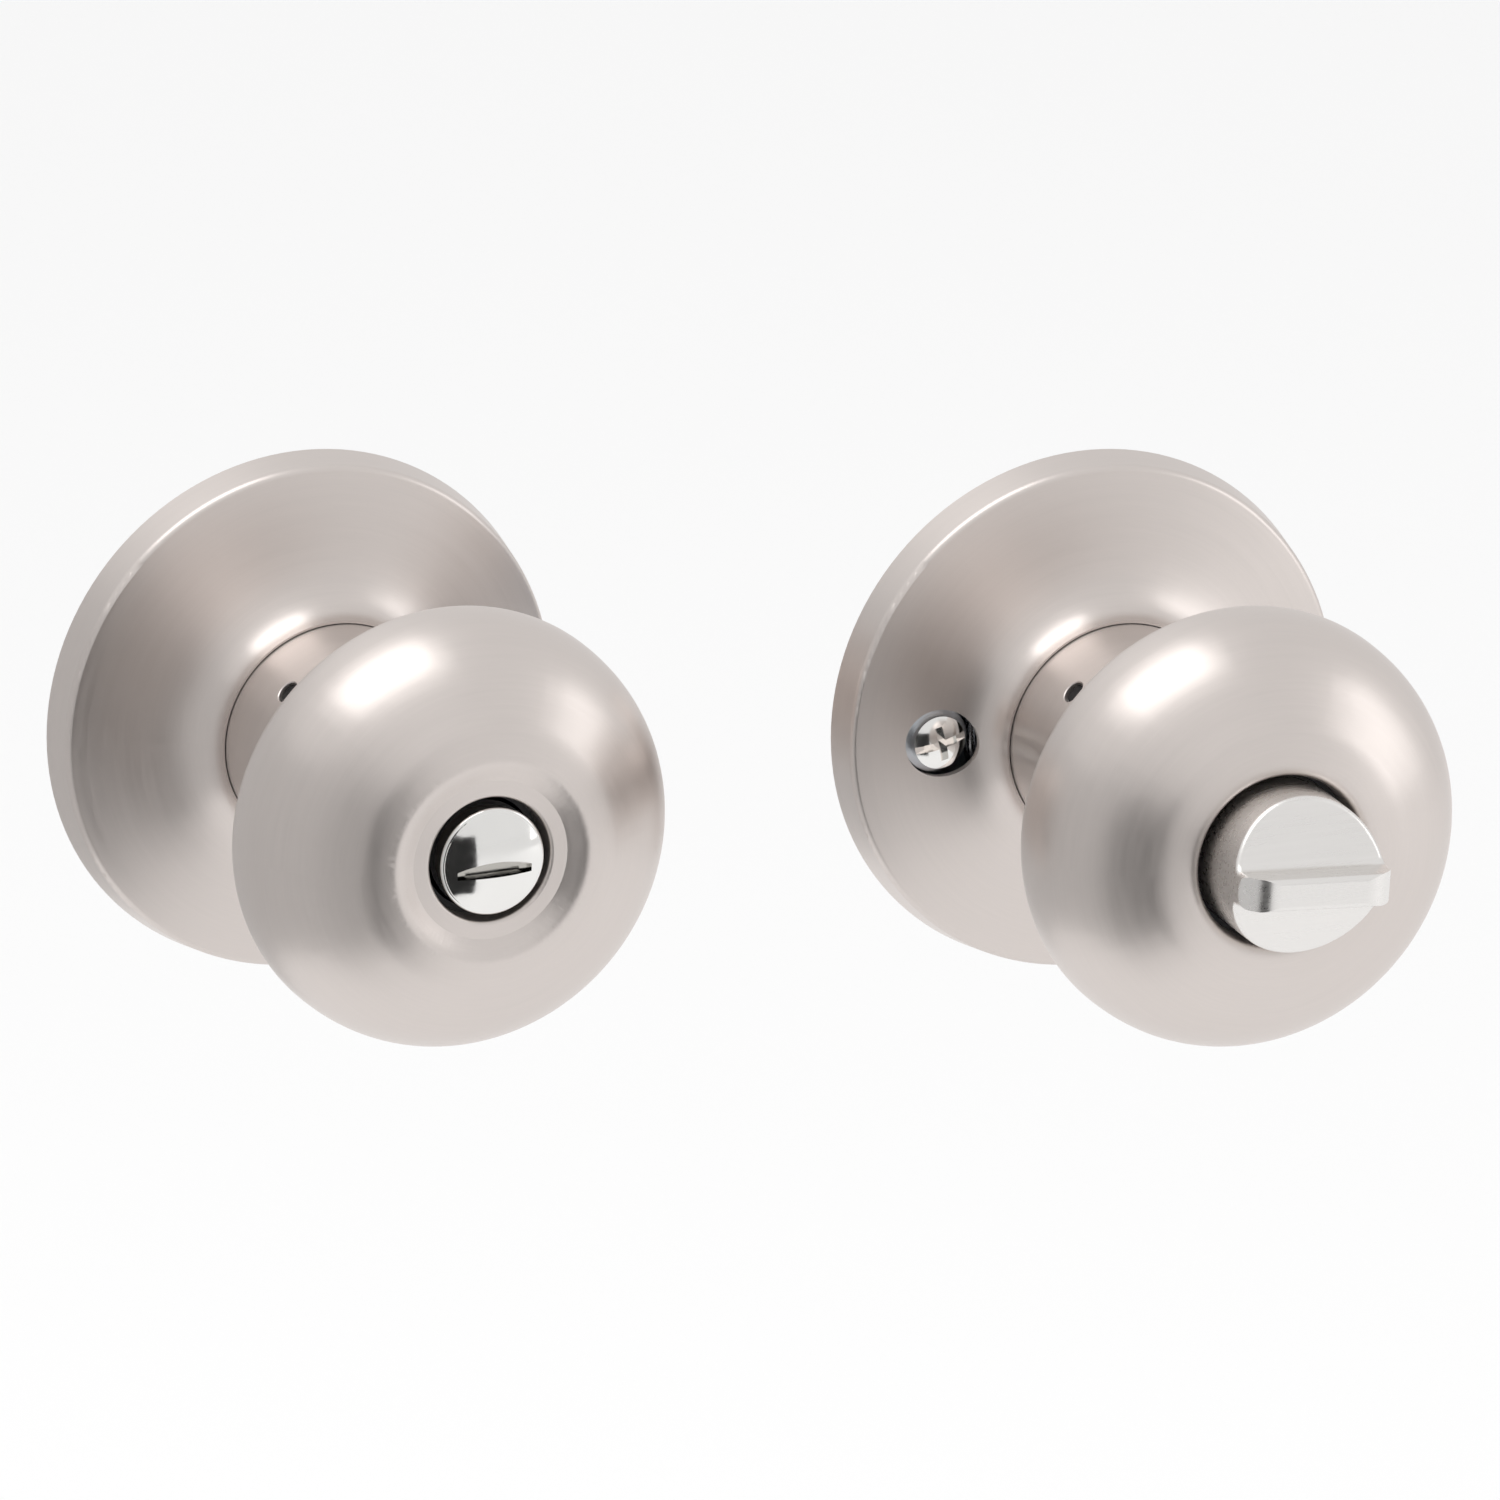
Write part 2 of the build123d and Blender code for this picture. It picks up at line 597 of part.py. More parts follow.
def spring_driver(half, name):
    """Keyed ring behind the plate, whose finger reaches through the slot to the spring's legs."""
    back, front = DRIVER_BACK_D, -GAP
    tip = FINGER_R + FINGER_DEPTH / 2
    with BuildPart() as piece:
        tube(half, DRIVER_R, 0, back, front)
        bar(half, 2 * FINGER_HALF_WIDTH, tip, back, front, centre=(0, tip / 2))
        bar(half, 2 * FINGER_HALF_WIDTH, FINGER_DEPTH, front, FINGER_END_D, centre=(0, FINGER_R))
        with BuildSketch(across(half, back)):
            Circle(JOURNAL_R)
            Rectangle(2 * FLAT_HALF_WIDTH, 2 * JOURNAL_R, mode=Mode.INTERSECT)
        extrude(amount=DRIVER_T, mode=Mode.SUBTRACT)
    save(piece, name)


def retaining_ring(half, name):
    """Open ring in the insert's groove, which keeps the knob in its bush."""
    with BuildPart() as piece:
        clip(half, RING_GROOVE_R, RING_R, DRIVER_BACK_D - RING_T, RING_T, RING_MOUTH)
    save(piece, name)


def knob_catch(half, name):
    """Sprung pin whose tip stands in the shank's hole; pushed in, it lets the knob come off."""
    length = SHANK_R - CATCH_TIP_BELOW - CATCH_PIN_BACK_R
    with BuildPart() as piece:
        with BuildSketch(catch_plane(half, CATCH_PIN_BACK_R)):
            Circle(CATCH_PIN_R)
        extrude(amount=length)
        tip = piece.edges().filter_by(GeomType.CIRCLE).sort_by_distance((half[0], half[1] - CATCH_D, 0))[-1]
        fillet(tip, CATCH_TIP_ROUND)
    save(piece, name)


def catch_spring(half, name):
    """Small coil spring between the catch and the bottom of its bore."""
    length = CATCH_PIN_BACK_R - CATCH_BORE_BOTTOM_R - 2 * CATCH_SPRING_WIRE_R - 2 * SPRING_SEAT
    start = catch_plane(half, CATCH_BORE_BOTTOM_R + CATCH_SPRING_WIRE_R + SPRING_SEAT)
    coil = start.location * Edge.make_helix(length / CATCH_SPRING_TURNS, length, CATCH_SPRING_R)
    with BuildPart() as piece:
        with BuildSketch(Plane(origin=coil @ 0, z_dir=coil % 0)):
            Circle(CATCH_SPRING_WIRE_R)
        sweep(path=coil)
    save(piece, name)


# Spindle, release and thumb turn ----------------------------------------------------------------


def spindle(half, name):
    """Square tube gripped by the outside insert, long enough to reach the inside knob's sleeve."""
    with BuildPart() as piece:
        bar(half, SPINDLE_SIDE, SPINDLE_SIDE, SPINDLE_BACK_D, SPINDLE_FRONT_D, rounding=SPINDLE_ROUND)
        bar(half, SPINDLE_HOLLOW, SPINDLE_HOLLOW, SPINDLE_BACK_D, SPINDLE_FRONT_D, Mode.SUBTRACT)
    save(piece, name)


def lock_bar(half, name):
    """Flat bar inside the spindle that carries the thumb turn's motion to the release button."""
    with BuildPart() as piece:
        bar(half, BAR_WIDTH, BAR_T, SPINDLE_BACK_D - BAR_PAST_SPINDLE, SHAFT_SOCKET_D)
    save(piece, name)


def cup(half, outer, inner, floor_back, bore, name):
    """Guide between the insert and the knob's opening: a tube with a floor bored for a shaft."""
    with BuildPart() as piece:
        tube(half, outer, inner, INSERT_FRONT_D, HOUSING_FRONT_D)
        tube(half, inner, bore, floor_back, floor_back + HOUSING_FLOOR_T)
    save(piece, name)


def shaft_clip(half, shaft_r, floor_back, name):
    """Open ring on a shaft behind its guide's floor."""
    with BuildPart() as piece:
        clip(half, shaft_r - CLIP_GROOVE, shaft_r + CLIP_RIM, floor_back - RUN - CLIP_T, CLIP_T, CLIP_MOUTH)
    save(piece, name)


def clip_groove(half, shaft_r, floor_back):
    tube(half, shaft_r, shaft_r - CLIP_GROOVE, floor_back - RUN - CLIP_T, floor_back - RUN, Mode.SUBTRACT)


def release_button(half, name):
    """Domed button with a coin slot: its upper wall slopes and its lower edge is deep."""
    shoulder = BUTTON_RIM_D - BUTTON_EDGE_ROUND
    crown = BUTTON_RIM_D + BUTTON_DOME
    rim_r = BUTTON_R - BUTTON_EDGE_ROUND
    ramp_end = COIN_SLOT_BOTTOM + COIN_SLIT
    with BuildPart() as piece:
        with BuildSketch(section(half)):
            with BuildLine():
                Polyline((0, crown), (0, SHAFT_BACK_D), (SHAFT_R, SHAFT_BACK_D), (SHAFT_R, BUTTON_BACK_D),
                         (BUTTON_R, BUTTON_BACK_D), (BUTTON_R, shoulder))
                ThreePointArc((BUTTON_R, shoulder),
                              (rim_r + BUTTON_EDGE_ROUND * cos(radians(45)),
                               shoulder + BUTTON_EDGE_ROUND * sin(radians(45))),
                              (rim_r, BUTTON_RIM_D))
                TangentArc((0, crown), (rim_r, BUTTON_RIM_D), tangent=(1, 0))
            make_face()
        revolve(axis=axis_of(half))
        clip_groove(half, SHAFT_R, HOUSING_FLOOR_D)
        bar(half, BAR_WIDTH, BAR_T, SHAFT_BACK_D, SHAFT_SOCKET_D, Mode.SUBTRACT)
        with BuildSketch(side_section(half)):
            with BuildLine():
                Polyline((COIN_SLOT_TOP, crown), (ramp_end, crown - COIN_RAMP_DEPTH),
                         (ramp_end, crown - COIN_SLOT_DEPTH), (COIN_SLOT_BOTTOM, crown - COIN_SLOT_DEPTH),
                         (COIN_SLOT_BOTTOM, crown), close=True)
            make_face()
        extrude(amount=COIN_SLOT_HALF_LENGTH, both=True, mode=Mode.SUBTRACT)
        with BuildSketch(side_section(half)):
            with BuildLine():
                Polyline((ramp_end, crown - COIN_LIP), (ramp_end, crown - COIN_SLOT_DEPTH),
                         (COIN_SLOT_BOTTOM - COIN_UNDERCUT, crown - COIN_SLOT_DEPTH),
                         (COIN_SLOT_BOTTOM - COIN_UNDERCUT, crown - COIN_LIP), close=True)
            make_face()
        extrude(amount=COIN_UNDERCUT_HALF_LENGTH, both=True, mode=Mode.SUBTRACT)
    save(piece, name)


def on_turn_rim(half, edge):
    """Whether an edge is where a sloping face of the thumb turn meets its round side."""
    middle = edge @ 0.5
    out = half[1] - middle.Y
    return TURN_BACK_D + 1.0 < out < TURN_ROOT_D and abs(middle.Z) > 2 * TURN_BAR_HALF


def thumb_turn(half, name):
    """Round body with a tent-shaped front that rises to a grip bar across it."""
    slope = (TURN_ROOT_D - TURN_RIM_D) / (TURN_R - TURN_BAR_HALF)
    past = TURN_R + 1.0
    eave_d = TURN_RIM_D - slope * (past - TURN_R)
    sides = (-1, 1)
    with BuildPart() as piece:
        tube(half, TURN_R, 0, TURN_BACK_D, TURN_FRONT_D)
        with BuildSketch(side_section(half)) as tent:
            with BuildLine():
                Polyline((-past, TURN_BACK_D), (-past, eave_d), (-TURN_BAR_HALF, TURN_ROOT_D),
                         (-TURN_BAR_HALF, TURN_FRONT_D), (TURN_BAR_HALF, TURN_FRONT_D),
                         (TURN_BAR_HALF, TURN_ROOT_D), (past, eave_d), (past, TURN_BACK_D), close=True)
            make_face()
            round_corners(tent, [(side * TURN_BAR_HALF, TURN_ROOT_D) for side in sides], TURN_ROOT_ROUND)
            round_corners(tent, [(side * TURN_BAR_HALF, TURN_FRONT_D) for side in sides], TURN_BAR_ROUND)
        extrude(amount=past, both=True, mode=Mode.INTERSECT)
        wide = TURN_R + TURN_END_STEP
        with BuildSketch(section(half)) as plan:
            with Locations((0, (TURN_BACK_D + TURN_FRONT_D) / 2)):
                Rectangle(2 * wide, TURN_FRONT_D - TURN_BACK_D)
            round_corners(plan, [(side * wide, TURN_FRONT_D) for side in sides], TURN_END_ROUND)
        extrude(amount=past, both=True, mode=Mode.INTERSECT)
        rims = [edge for edge in piece.edges() if on_turn_rim(half, edge)]
        fillet(rims, TURN_RIM_ROUND)
        tube(half, TURN_SHAFT_R, 0, TURN_BACK_D, TURN_SHAFT_FRONT_D, Mode.SUBTRACT)
    piece.part = piece.part.rotate(axis_of(half), -TURN_SET_ANGLE)
    save(piece, name)


def thumb_turn_shaft(half, name):
    """Shaft from the thumb turn to the lock bar, with flats where the detent spring bears."""
    with BuildPart() as piece:
        tube(half, TURN_SHAFT_R, 0, TURN_SHAFT_BACK_D, TURN_SHAFT_FRONT_D)
        clip_groove(half, TURN_SHAFT_R, TURN_FLOOR_D)
        bar(half, BAR_WIDTH + BAR_SLOT_ROOM, BAR_T + BAR_SLOT_ROOM, TURN_SHAFT_BACK_D, TURN_SHAFT_SOCKET_D,
            Mode.SUBTRACT)
        for x, y in ((1, 0), (-1, 0), (0, 1), (0, -1)):
            centre = (x * (TURN_FLATS_HALF + TURN_SHAFT_R), y * (TURN_FLATS_HALF + TURN_SHAFT_R))
            bar(half, 2 * TURN_SHAFT_R, 2 * TURN_SHAFT_R, INSERT_FRONT_D, TURN_FLATS_END_D, Mode.SUBTRACT,
                centre=centre)
    save(piece, name)


def detent_spring(half, name):
    """U-shaped leaf whose two arms bear on the shaft's flats and click it every quarter turn."""
    inner = 2 * (TURN_FLATS_HALF + RUN)
    outer = inner + 2 * DETENT_T
    with BuildPart() as piece:
        bar(half, DETENT_LENGTH, outer, INSERT_FRONT_D, DETENT_END_D)
        bar(half, DETENT_LENGTH, inner, INSERT_FRONT_D, DETENT_END_D, Mode.SUBTRACT, centre=(DETENT_T, 0))
    save(piece, name)


def spindle_sleeve(half, name):
    """Square-holed sleeve in the inside insert that takes the spindle's end."""
    with BuildPart() as piece:
        tube(half, SLEEVE_R, 0, INSERT_BACK_D, SLEEVE_FRONT_D)
        bar(half, SLEEVE_SIDE, SLEEVE_SIDE, INSERT_BACK_D, SLEEVE_FRONT_D, Mode.SUBTRACT, SPINDLE_ROUND)
    save(piece, name)


# Making every piece -----------------------------------------------------------------------------


def common_pieces(half, side):
    """The pieces that both halves have alike."""
    bearing_bush(half, f"{side}_bearing_bush")
    return_spring(half, f"{side}_return_spring")
    knob_back(half, f"{side}_knob_back")
    knob_shank(half, f"{side}_knob_shank")
    spring_driver(half, f"{side}_spring_driver")
    retaining_ring(half, f"{side}_retaining_ring")
    knob_catch(half, f"{side}_knob_catch")
    catch_spring(half, f"{side}_catch_spring")


def main():
    os.makedirs("parts", exist_ok=True)

    common_pieces(OUTSIDE, "outside")
    rose(OUTSIDE, "outside_rose", screw_wells=False)
    mounting_plate(OUTSIDE, "outside_mounting_plate", POST_RIVET_R, PLATE_FRONT_D)
    posts(OUTSIDE, "outside_posts")
    outside_knob_front(OUTSIDE, "outside_knob_front")
    outside_insert(OUTSIDE, "outside_knob_insert")
    spindle(OUTSIDE, "spindle")
    lock_bar(OUTSIDE, "lock_bar")
    cup(OUTSIDE, RELEASE_OPENING_R, BUTTON_R + GAP, HOUSING_FLOOR_D, SHAFT_R + RUN, "release_housing")
    release_button(OUTSIDE, "release_button")
    shaft_clip(OUTSIDE, SHAFT_R, HOUSING_FLOOR_D, "release_clip")

    common_pieces(INSIDE, "inside")
    rose(INSIDE, "inside_rose", screw_wells=True)
    mounting_plate(INSIDE, "inside_mounting_plate", SCREW_HOLE_R, SCREW_SEAT_D)
    mounting_screws(INSIDE, "mounting_screws")
    inside_knob_front(INSIDE, "inside_knob_front")
    inside_insert(INSIDE, "inside_knob_insert")
    spindle_sleeve(INSIDE, "spindle_sleeve")
    cup(INSIDE, TURN_OPENING_R, TURN_R + RUN, TURN_FLOOR_D, TURN_SHAFT_R + RUN, "thumb_turn_guide")
    thumb_turn(INSIDE, "thumb_turn")
    thumb_turn_shaft(INSIDE, "thumb_turn_shaft")
    shaft_clip(INSIDE, TURN_SHAFT_R, TURN_FLOOR_D, "thumb_turn_clip")
    detent_spring(INSIDE, "detent_spring")


main()
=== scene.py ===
import json
from math import cos, pi, radians, sin

import bmesh
import bpy
from bpy.props import FloatProperty, FloatVectorProperty, PointerProperty
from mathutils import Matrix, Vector


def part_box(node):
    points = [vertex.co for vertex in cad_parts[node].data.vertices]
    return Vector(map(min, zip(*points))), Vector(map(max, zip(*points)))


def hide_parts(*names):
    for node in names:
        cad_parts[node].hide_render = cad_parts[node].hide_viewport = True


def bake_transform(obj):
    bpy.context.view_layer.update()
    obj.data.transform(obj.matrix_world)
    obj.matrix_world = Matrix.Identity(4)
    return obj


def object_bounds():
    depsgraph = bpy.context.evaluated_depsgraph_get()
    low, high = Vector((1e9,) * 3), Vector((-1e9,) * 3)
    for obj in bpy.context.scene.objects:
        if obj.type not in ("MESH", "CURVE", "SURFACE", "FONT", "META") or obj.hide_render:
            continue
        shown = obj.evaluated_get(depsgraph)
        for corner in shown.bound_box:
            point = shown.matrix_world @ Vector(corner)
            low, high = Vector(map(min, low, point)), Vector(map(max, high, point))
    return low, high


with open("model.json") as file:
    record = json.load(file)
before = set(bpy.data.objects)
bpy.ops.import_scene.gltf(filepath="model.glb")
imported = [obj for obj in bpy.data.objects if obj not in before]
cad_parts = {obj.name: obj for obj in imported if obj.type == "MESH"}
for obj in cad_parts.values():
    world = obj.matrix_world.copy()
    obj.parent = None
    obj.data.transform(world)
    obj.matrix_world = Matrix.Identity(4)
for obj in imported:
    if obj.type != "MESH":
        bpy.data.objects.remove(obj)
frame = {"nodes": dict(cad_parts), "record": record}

bl_info = {
    "name": "Privacy door knob set",
    "version": (1, 0, 0),
    "blender": (4, 5, 0),
    "location": "3D View > Sidebar > Door knob",
    "description": "Finishes a privacy door knob set in satin nickel, with its release button and thumb turn",
    "category": "Object",
}

CAD_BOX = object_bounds()
HALVES = ("outside", "inside")

# Azimuth and elevation in degrees, distance and size in metres, brightness against a lit white surface
SOFTBOXES = {
    "overhead_softbox": (-85, 73, 1.2, (0.9, 0.9), 1.7),
    "right_softbox": (62, 12, 1.4, (0.5, 0.9), 1.2),
}
# Azimuths and elevations in degrees, radius in metres, tone from black to white
CARDS = {
    "dark_card": ((-30, -4), (-55, 8), 0.5, 0.01),
    "shade_card": ((-78, -30), (-29, 2), 0.51, 0.15),
    "left_card": ((-170, -30), (-65, 25), 0.52, 0.6),
}
CARD_COLUMNS = 24
SKY_BRIGHTNESS = 0.87
FLOOR_HALF_SIZE = 12.0
SENSOR_WIDTH = 36.0
CAMERA_REACH = 100.0


def rose_centre(side):
    """Where a half's axis meets its door plane."""
    low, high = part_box(f"{side}_rose")
    return Vector(((low.x + high.x) / 2, high.y, (low.z + high.z) / 2))


CENTRE = {side: rose_centre(side) for side in HALVES}


# Sizes and colours ------------------------------------------------------------------------------


class KnobSetColours(bpy.types.PropertyGroup):
    satin: FloatVectorProperty(name="Satin nickel", description="Colour of the brushed nickel plate",
                               subtype="COLOR", size=3, min=0, max=1, default=(0.68, 0.625, 0.595))
    turn: FloatVectorProperty(name="Thumb turn nickel", description="Colour of the thumb turn's nickel plate",
                              subtype="COLOR", size=3, min=0, max=1, default=(0.80, 0.78, 0.76))
    polished: FloatVectorProperty(name="Polished nickel", description="Colour of the polished nickel plate",
                                  subtype="COLOR", size=3, min=0, max=1, default=(0.82, 0.81, 0.79))
    zinc: FloatVectorProperty(name="Zinc plate", description="Colour of the zinc-plated steel",
                              subtype="COLOR", size=3, min=0, max=1, default=(0.62, 0.64, 0.66))
    casting: FloatVectorProperty(name="Casting", description="Colour of the grey zinc castings",
                                 subtype="COLOR", size=3, min=0, max=1, default=(0.50, 0.50, 0.51))
    floor: FloatVectorProperty(name="Floor", description="Colour of the floor",
                               subtype="COLOR", size=3, min=0, max=1, default=(0.98, 0.98, 0.98))


class KnobSetStage(bpy.types.PropertyGroup):
    # The camera stays well inside 100 times the set's radius: past that, other views clip the set away
    azimuth: FloatProperty(name="Azimuth", description="Camera angle round the set from straight in front",
                           subtype="ANGLE", default=radians(-22.6))
    elevation: FloatProperty(name="Elevation", description="Camera angle above the horizon",
                             subtype="ANGLE", default=radians(19.0))
    distance: FloatProperty(name="Distance", description="Camera's distance from the set",
                            subtype="DISTANCE", default=7.0)
    framed_width: FloatProperty(name="Framed width", description="Width of the view at the set",
                                subtype="DISTANCE", default=0.187)
    aim_right: FloatProperty(name="Aim right", description="Centre of view to the right of the roses' middle",
                             subtype="DISTANCE", default=0.00796)
    aim_up: FloatProperty(name="Aim up", description="Centre of view above the roses' midpoint",
                          subtype="DISTANCE", default=-0.00569)
    floor_drop: FloatProperty(name="Floor drop", description="Height of the set above the floor",
                              subtype="DISTANCE", default=0.25)


# Materials --------------------------------------------------------------------------------------


class Tree:
    """A material's node tree, with short calls to add and join nodes."""

    def __init__(self, name):
        self.material = bpy.data.materials.new(name)
        self.material.use_nodes = True
        self.nodes = self.material.node_tree.nodes
        self.links = self.material.node_tree.links
        self.shader = next(n for n in self.nodes if n.type == "BSDF_PRINCIPLED")

    def join(self, source, target):
        self.links.new(source, target)

    def add(self, kind, **values):
        node = self.nodes.new(kind)
        for name, value in values.items():
            setattr(node, name, value)
        return node

    def math(self, operation, first, second=None):
        node = self.add("ShaderNodeMath", operation=operation)
        for socket, value in zip(node.inputs, (first, second)):
            self.feed(socket, value)
        return node.outputs[0]

    def vector(self, operation, first, second=None):
        node = self.add("ShaderNodeVectorMath", operation=operation)
        for socket, value in zip(node.inputs, (first, second)):
            self.feed(socket, value)
        return node

    def feed(self, socket, value):
        if value is None:
            return
        if isinstance(value, bpy.types.NodeSocket):
            self.join(value, socket)
        else:
            socket.default_value = value

    def combine(self, x, y, z):
        node = self.add("ShaderNodeCombineXYZ")
        for socket, value in zip(node.inputs, (x, y, z)):
            self.feed(socket, value)
        return node.outputs[0]

    def noise(self, vector, scale, detail=2.0, roughness=0.5):
        node = self.add("ShaderNodeTexNoise")
        self.join(vector, node.inputs["Vector"])
        node.inputs["Scale"].default_value = scale
        node.inputs["Detail"].default_value = detail
        node.inputs["Roughness"].default_value = roughness
        return node.outputs["Fac"]

    def spread(self, value, low, high, to_low, to_high):
        """The value remapped from one range to another and held inside it."""
        node = self.add("ShaderNodeMapRange")
        for name, number in (("From Min", low), ("From Max", high), ("To Min", to_low), ("To Max", to_high)):
            node.inputs[name].default_value = number
        self.join(value, node.inputs["Value"])
        return node.outputs["Result"]

    def tint(self, factor, dark, light):
        node = self.add("ShaderNodeMix", data_type="RGBA")
        self.join(factor, node.inputs[0])
        node.inputs[6].default_value = (*dark, 1)
        node.inputs[7].default_value = (*light, 1)
        return node.outputs[2]

    def bump(self, height, strength, distance):
        node = self.add("ShaderNodeBump")
        node.inputs["Strength"].default_value = strength
        node.inputs["Distance"].default_value = distance
        self.join(height, node.inputs["Height"])
        self.join(node.outputs["Normal"], self.shader.inputs["Normal"])

    def colour(self, factor, low, high):
        self.join(self.tint(factor, low, high), self.shader.inputs["Base Color"])

    def rough(self, value, from_low, from_high, low, high):
        self.join(self.spread(value, from_low, from_high, low, high), self.shader.inputs["Roughness"])

    def metal(self, roughness=None):
        self.shader.inputs["Metallic"].default_value = 1.0
        if roughness is not None:
            self.shader.inputs["Roughness"].default_value = roughness


def scaled(colour, factor):
    return tuple(min(1.0, c * factor) for c in colour)


def about_axis(tree, centre):
    """Coordinates about a knob's axis: radius, distance along it, angle, and the direction round it."""
    place = tree.add("ShaderNodeTexCoord").outputs["Object"]
    local = tree.vector("SUBTRACT", place, tuple(centre)).outputs[0]
    parts = tree.add("ShaderNodeSeparateXYZ")
    tree.join(local, parts.inputs[0])
    x, y, z = parts.outputs
    radius = tree.math("SQRT", tree.math("ADD", tree.math("MULTIPLY", x, x), tree.math("MULTIPLY", z, z)))
    angle = tree.math("ARCTAN2", z, x)
    flat = tree.combine(z, 0.0, tree.math("MULTIPLY", x, -1.0))
    turned = tree.add("ShaderNodeVectorTransform", vector_type="VECTOR",
                      convert_from="OBJECT", convert_to="WORLD")
    tree.join(flat, turned.inputs[0])
    round_it = tree.vector("NORMALIZE", turned.outputs[0]).outputs[0]
    return radius, y, angle, round_it, local


def turned_nickel(name, colour, centre, roughness=0.35, grain=0.5, anisotropy=0.55):
    """Nickel plate brushed round an axis: hairlines in rings, soft cloudy wear and fanned highlights."""
    tree = Tree(name)
    radius, along, angle, round_it, local = about_axis(tree, centre)
    tree.metal()
    tree.shader.inputs["Anisotropic"].default_value = anisotropy
    tree.shader.inputs["Anisotropic Rotation"].default_value = 0.25
    tree.join(round_it, tree.shader.inputs["Tangent"])
    rings = tree.combine(radius, along, tree.math("MULTIPLY", angle, 0.0009))
    hair = tree.noise(rings, 3600.0, 3.0, 0.65)
    streak = tree.noise(rings, 900.0, 2.0, 0.5)
    cloud = tree.noise(local, 55.0, 3.0, 0.55)
    tone = tree.math("ADD", tree.math("MULTIPLY", hair, 0.45), tree.math("MULTIPLY", streak, 0.35))
    tone = tree.math("ADD", tone, tree.math("MULTIPLY", cloud, 0.2))
    factor = tree.spread(tone, 0.3, 0.7, 0.0, 1.0)
    tree.colour(factor, scaled(colour, 0.97), scaled(colour, 1.02))
    tree.rough(tone, 0.3, 0.7, roughness - 0.035, roughness + 0.045)
    tree.bump(tree.math("ADD", hair, tree.math("MULTIPLY", streak, 0.6)), 0.10 * grain, 0.00004)
    return tree.material


def straight_nickel(name, colour, roughness=0.28):
    """Bright satin casting: faint hairlines along X and a soft cast unevenness."""
    tree = Tree(name)
    tree.metal()
    place = tree.add("ShaderNodeTexCoord").outputs["Object"]
    stretched = tree.vector("MULTIPLY", place, (60.0, 1500.0, 1500.0)).outputs[0]
    hair = tree.noise(stretched, 1.0, 3.0, 0.6)
    cloud = tree.noise(place, 220.0, 2.0, 0.5)
    tree.colour(hair, scaled(colour, 0.96), scaled(colour, 1.03))
    tree.rough(hair, 0.3, 0.7, roughness - 0.03, roughness + 0.05)
    tree.bump(tree.math("ADD", tree.math("MULTIPLY", hair, 0.3), cloud), 0.15, 0.00005)
    return tree.material


def polished_nickel(name, colour, roughness=0.07):
    """Polished plate with a slight ripple and a few rubbed patches."""
    tree = Tree(name)
    tree.metal()
    place = tree.add("ShaderNodeTexCoord").outputs["Object"]
    ripple = tree.noise(place, 180.0, 2.0, 0.5)
    rub = tree.noise(place, 900.0, 3.0, 0.6)
    tree.colour(ripple, scaled(colour, 0.97), scaled(colour, 1.02))
    tree.rough(rub, 0.35, 0.7, roughness, roughness + 0.07)
    tree.bump(ripple, 0.2, 0.0001)
    return tree.material


def zinc_plate(name, colour, roughness=0.32):
    """Clear zinc plate: fine spangle and a faint bluish drift."""
    tree = Tree(name)
    tree.metal()
    place = tree.add("ShaderNodeTexCoord").outputs["Object"]
    spangle = tree.add("ShaderNodeTexVoronoi")
    tree.join(place, spangle.inputs["Vector"])
    spangle.inputs["Scale"].default_value = 900.0
    drift = tree.noise(place, 60.0, 3.0, 0.6)
    cells = tree.spread(spangle.outputs["Distance"], 0.0, 0.8, 0.0, 1.0)
    mixed = tree.math("ADD", tree.math("MULTIPLY", cells, 0.3), tree.math("MULTIPLY", drift, 0.7))
    cool = (colour[0] * 0.9, colour[1] * 0.93, colour[2])
    tree.colour(mixed, cool, scaled(colour, 1.05))
    tree.rough(mixed, 0.2, 0.8, roughness - 0.06, roughness + 0.1)
    tree.bump(cells, 0.15, 0.00003)
    return tree.material


def cast_zinc(name, colour):
    """As-cast alloy: sandy grain over broad flow marks."""
    tree = Tree(name)
    tree.metal()
    place = tree.add("ShaderNodeTexCoord").outputs["Object"]
    sand = tree.noise(place, 2500.0, 4.0, 0.7)
    flow = tree.noise(place, 120.0, 3.0, 0.6)
    tree.colour(flow, scaled(colour, 0.8), scaled(colour, 1.1))
    tree.rough(sand, 0.3, 0.7, 0.45, 0.65)
    tree.bump(sand, 0.5, 0.00008)
    return tree.material


def drawn_wire(name, colour, roughness=0.25):
    """Drawn spring steel, with faint die marks."""
    tree = Tree(name)
    tree.metal()
    place = tree.add("ShaderNodeTexCoord").outputs["Object"]
    marks = tree.noise(place, 1800.0, 2.0, 0.5)
    tree.colour(marks, scaled(colour, 0.85), scaled(colour, 1.1))
    tree.rough(marks, 0.3, 0.7, roughness - 0.05, roughness + 0.1)
    tree.bump(marks, 0.2, 0.00003)
    return tree.material


def moulded_plastic(name, colour, roughness=0.45):
    """Moulded plastic with a fine spark-eroded texture."""
    tree = Tree(name)
    place = tree.add("ShaderNodeTexCoord").outputs["Object"]
    grain = tree.noise(place, 3000.0, 3.0, 0.6)
    tree.colour(grain, scaled(colour, 0.85), scaled(colour, 1.15))
    tree.rough(grain, 0.3, 0.7, roughness - 0.05, roughness + 0.12)
    tree.bump(grain, 0.3, 0.00004)
    return tree.material


def floor_paint(name, colour):
    """Matt pale floor with a barely visible mottle."""
    tree = Tree(name)
    place = tree.add("ShaderNodeTexCoord").outputs["Object"]
    mottle = tree.noise(place, 3.0, 3.0, 0.5)
    tree.colour(mottle, scaled(colour, 0.99), scaled(colour, 1.01))
    tree.shader.inputs["Roughness"].default_value = 0.9
    return tree.material


def finish(obj, material):
    obj.data.materials.clear()
    obj.data.materials.append(material)


